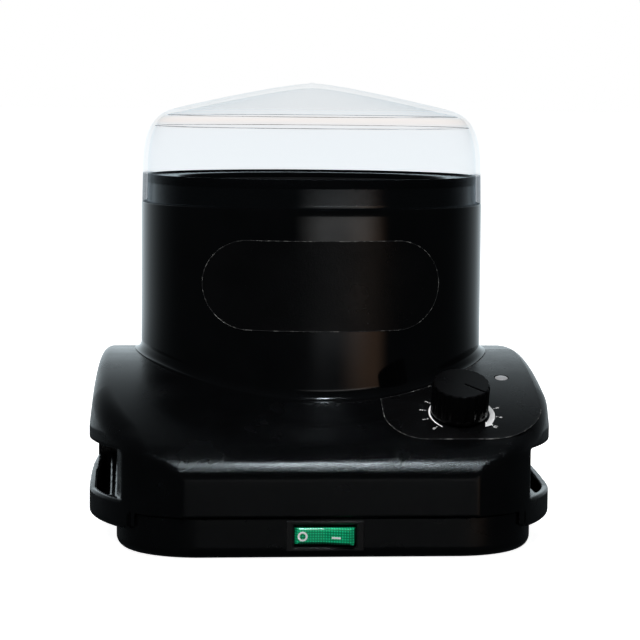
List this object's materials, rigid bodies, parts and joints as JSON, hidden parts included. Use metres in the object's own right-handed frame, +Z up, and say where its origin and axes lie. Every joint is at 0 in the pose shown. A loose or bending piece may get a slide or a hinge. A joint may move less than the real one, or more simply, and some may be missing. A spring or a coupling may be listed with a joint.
{
  "type": "wax warmer",
  "caption": "Electric wax warmer: heated well in a round insulated tower with a lift-off clear lid, on an arched base with side grips, a dial thermostat and a rocker switch.",
  "frame": {"origin": "centre of the footprint, on the surface that the feet stand on", "axes": "+Z up along the heating well, +Y to the rear along the longer side, so the front with the switch faces -Y and +X is to the right of a user"},
  "size_m": [0.186, 0.2061, 0.1837],
  "materials": {
    "housing_plastic": "moulded black plastic, satin, fine grain",
    "tray_plastic": "moulded black plastic, satin",
    "tower_plastic": "moulded black plastic, soft gloss",
    "rim_plastic": "black plastic, glossy",
    "label_film": "dark grey printed film, fine grain",
    "lid_clear": "clear moulded plastic",
    "knob_plastic": "black plastic, satin",
    "switch_plastic": "black plastic, satin",
    "rocker_green": "translucent green plastic",
    "lamp_lens": "grey diffusing plastic",
    "foot_rubber": "matt",
    "well_coating": "dark non-stick coating on aluminium",
    "steel_zinc": "zinc plated",
    "steel_sheet": "plain sheet",
    "heater_sheath": "heat tinted sheet over mica",
    "fibre": "mineral fibre blanket",
    "ceramic": "unglazed ceramic",
    "block_plastic": "white plastic",
    "nickel": "nickel plated brass",
    "copper_tube": "copper capillary and bulb",
    "wire_brown": "silicone insulation",
    "wire_red": "silicone insulation",
    "wire_blue": "silicone insulation",
    "wire_green": "silicone insulation"
  },
  "bodies": {
    "base": {"lower_tray": "tray_plastic", "upper_housing": "housing_plastic", "rubber_feet": "foot_rubber", "tray_screws": "steel_zinc", "tower_shell": "tower_plastic", "tower_screws": "steel_zinc", "tower_label": "label_film", "rim_ring": "rim_plastic", "heating_well": "well_coating", "well_nut": "steel_zinc", "ceramic_spacer": "ceramic", "heater_band": "heater_sheath", "heater_clamp": "steel_sheet", "clamp_screw": "steel_zinc", "insulation_sleeve": "fibre", "heat_shield": "steel_sheet", "shield_standoffs": "steel_zinc", "shield_screws": "steel_zinc", "thermal_fuse": "ceramic", "thermostat_body": "ceramic", "thermostat_nut": "steel_zinc", "thermostat_bulb": "copper_tube", "control_label": "label_film", "pilot_lamp": "lamp_lens", "pilot_clip": "switch_plastic", "switch_body": "switch_plastic", "inlet_socket": "switch_plastic", "inlet_screws": "steel_zinc", "inlet_pins": "nickel", "terminal_block": "block_plastic", "terminal_screws": "steel_zinc", "mains_wires": "wire_brown", "heater_wires": "wire_red", "lamp_wires": "wire_blue", "earth_screw": "steel_zinc", "earth_tag": "steel_sheet", "earth_wire": "wire_green"},
    "lid": {"lid": "lid_clear"},
    "knob": {"dial_knob": "knob_plastic", "thermostat_spindle": "steel_zinc"},
    "rocker": {"rocker": "rocker_green"}
  },
  "joints": [
    {"name": "lid_lift", "type": "slide", "parent": "base", "child": "lid", "axis": [0, 0, 1], "range_m": [0, 0.15]},
    {"name": "knob_turn", "type": "hinge", "parent": "base", "child": "knob", "pos_m": [0.0532, -0.0703, 0.05321], "axis": [0, -0.409, 0.9125], "range_deg": [0, 260]},
    {"name": "rocker_tilt", "type": "hinge", "parent": "base", "child": "rocker", "pos_m": [-0.002, -0.0977, 0.0096], "axis": [0, 0, 1], "range_deg": [0, 16]}
  ]
}
